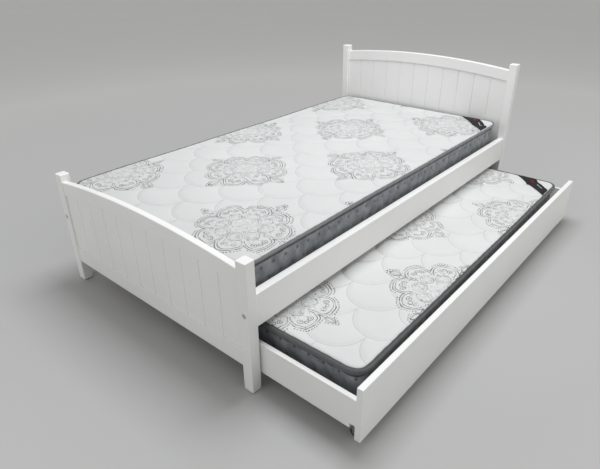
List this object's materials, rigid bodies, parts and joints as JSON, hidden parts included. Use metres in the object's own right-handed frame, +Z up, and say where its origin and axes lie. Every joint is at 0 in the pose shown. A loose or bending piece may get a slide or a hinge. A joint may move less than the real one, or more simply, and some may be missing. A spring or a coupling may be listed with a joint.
{
  "type": "trundle bed",
  "caption": "Wooden bed with arched grooved head and foot boards, quilted mattress, and a lower trundle bed on wheels that rolls out sideways.",
  "frame": {"origin": "on the floor, under the middle of the whole bed with the trundle drawn out as at rest", "axes": "+Z up, +Y towards the headboard, +X towards the side where the trundle comes out"},
  "size_m": [1.582, 2.12, 0.81],
  "materials": {
    "white_paint": "satin white paint over wood",
    "pine": "bare planed pine",
    "dowel_beech": "fluted beech dowel",
    "mattress_top": "white quilted knit with a grey printed pattern",
    "mattress_border": "dark grey quilted border cloth",
    "zinc_steel": "zinc plated",
    "wheel_rubber": "moulded black",
    "glide_plastic": "moulded"
  },
  "bodies": {
    "bed": {"foot_post_left": "white_paint", "foot_post_right": "white_paint", "head_post_left": "white_paint", "head_post_right": "white_paint", "foot_top_rail": "white_paint", "foot_panel": "white_paint", "foot_bottom_rail": "white_paint", "head_top_rail": "white_paint", "head_panel": "white_paint", "head_bottom_rail": "white_paint", "side_rail_left": "white_paint", "side_rail_right": "white_paint", "slat_ledger_left": "pine", "slat_ledger_right": "pine", "bed_slat_01": "pine", "bed_slat_02": "pine", "bed_slat_03": "pine", "bed_slat_04": "pine", "bed_slat_05": "pine", "bed_slat_06": "pine", "bed_slat_07": "pine", "bed_slat_08": "pine", "bed_slat_09": "pine", "bed_slat_10": "pine", "bed_slat_11": "pine", "bed_mattress": "mattress_top", "bed_bolts": "zinc_steel", "bed_barrel_nuts": "zinc_steel", "bed_dowels": "dowel_beech", "bed_screws": "zinc_steel", "post_glides": "glide_plastic"},
    "trundle": {"trundle_front_panel": "white_paint", "trundle_back_panel": "white_paint", "trundle_foot_panel": "white_paint", "trundle_head_panel": "white_paint", "trundle_ledger_front": "pine", "trundle_ledger_back": "pine", "trundle_slat_01": "pine", "trundle_slat_02": "pine", "trundle_slat_03": "pine", "trundle_slat_04": "pine", "trundle_slat_05": "pine", "trundle_slat_06": "pine", "trundle_slat_07": "pine", "trundle_slat_08": "pine", "castor_bracket_front_foot": "zinc_steel", "castor_bracket_front_head": "zinc_steel", "castor_bracket_back_foot": "zinc_steel", "castor_bracket_back_head": "zinc_steel", "trundle_mattress": "mattress_border", "castor_blocks": "pine", "castor_axles": "zinc_steel", "castor_screws": "zinc_steel", "trundle_dowels": "dowel_beech", "trundle_screws": "zinc_steel"},
    "wheel_front_foot": {"wheel_front_foot": "wheel_rubber"},
    "wheel_front_head": {"wheel_front_head": "wheel_rubber"},
    "wheel_back_foot": {"wheel_back_foot": "wheel_rubber"},
    "wheel_back_head": {"wheel_back_head": "wheel_rubber"}
  },
  "joints": [
    {"name": "trundle_slide", "type": "slide", "parent": "bed", "child": "trundle", "axis": [1, 0, 0], "range_m": [-0.414, 0.6]},
    {"name": "wheel_front_foot_spin", "type": "hinge", "parent": "trundle", "child": "wheel_front_foot", "pos_m": [0.75, -0.974, 0.0175], "axis": [0, 1, 0], "continuous": true},
    {"name": "wheel_front_head_spin", "type": "hinge", "parent": "trundle", "child": "wheel_front_head", "pos_m": [0.75, 0.974, 0.0175], "axis": [0, 1, 0], "continuous": true},
    {"name": "wheel_back_foot_spin", "type": "hinge", "parent": "trundle", "child": "wheel_back_foot", "pos_m": [-0.168, -0.974, 0.0175], "axis": [0, 1, 0], "continuous": true},
    {"name": "wheel_back_head_spin", "type": "hinge", "parent": "trundle", "child": "wheel_back_head", "pos_m": [-0.168, 0.974, 0.0175], "axis": [0, 1, 0], "continuous": true}
  ],
  "couplings": [
    {"joint": "wheel_front_foot_spin", "follows": "trundle_slide", "rad_per_m": 57.143},
    {"joint": "wheel_front_head_spin", "follows": "trundle_slide", "rad_per_m": 57.143},
    {"joint": "wheel_back_foot_spin", "follows": "trundle_slide", "rad_per_m": 57.143},
    {"joint": "wheel_back_head_spin", "follows": "trundle_slide", "rad_per_m": 57.143}
  ]
}
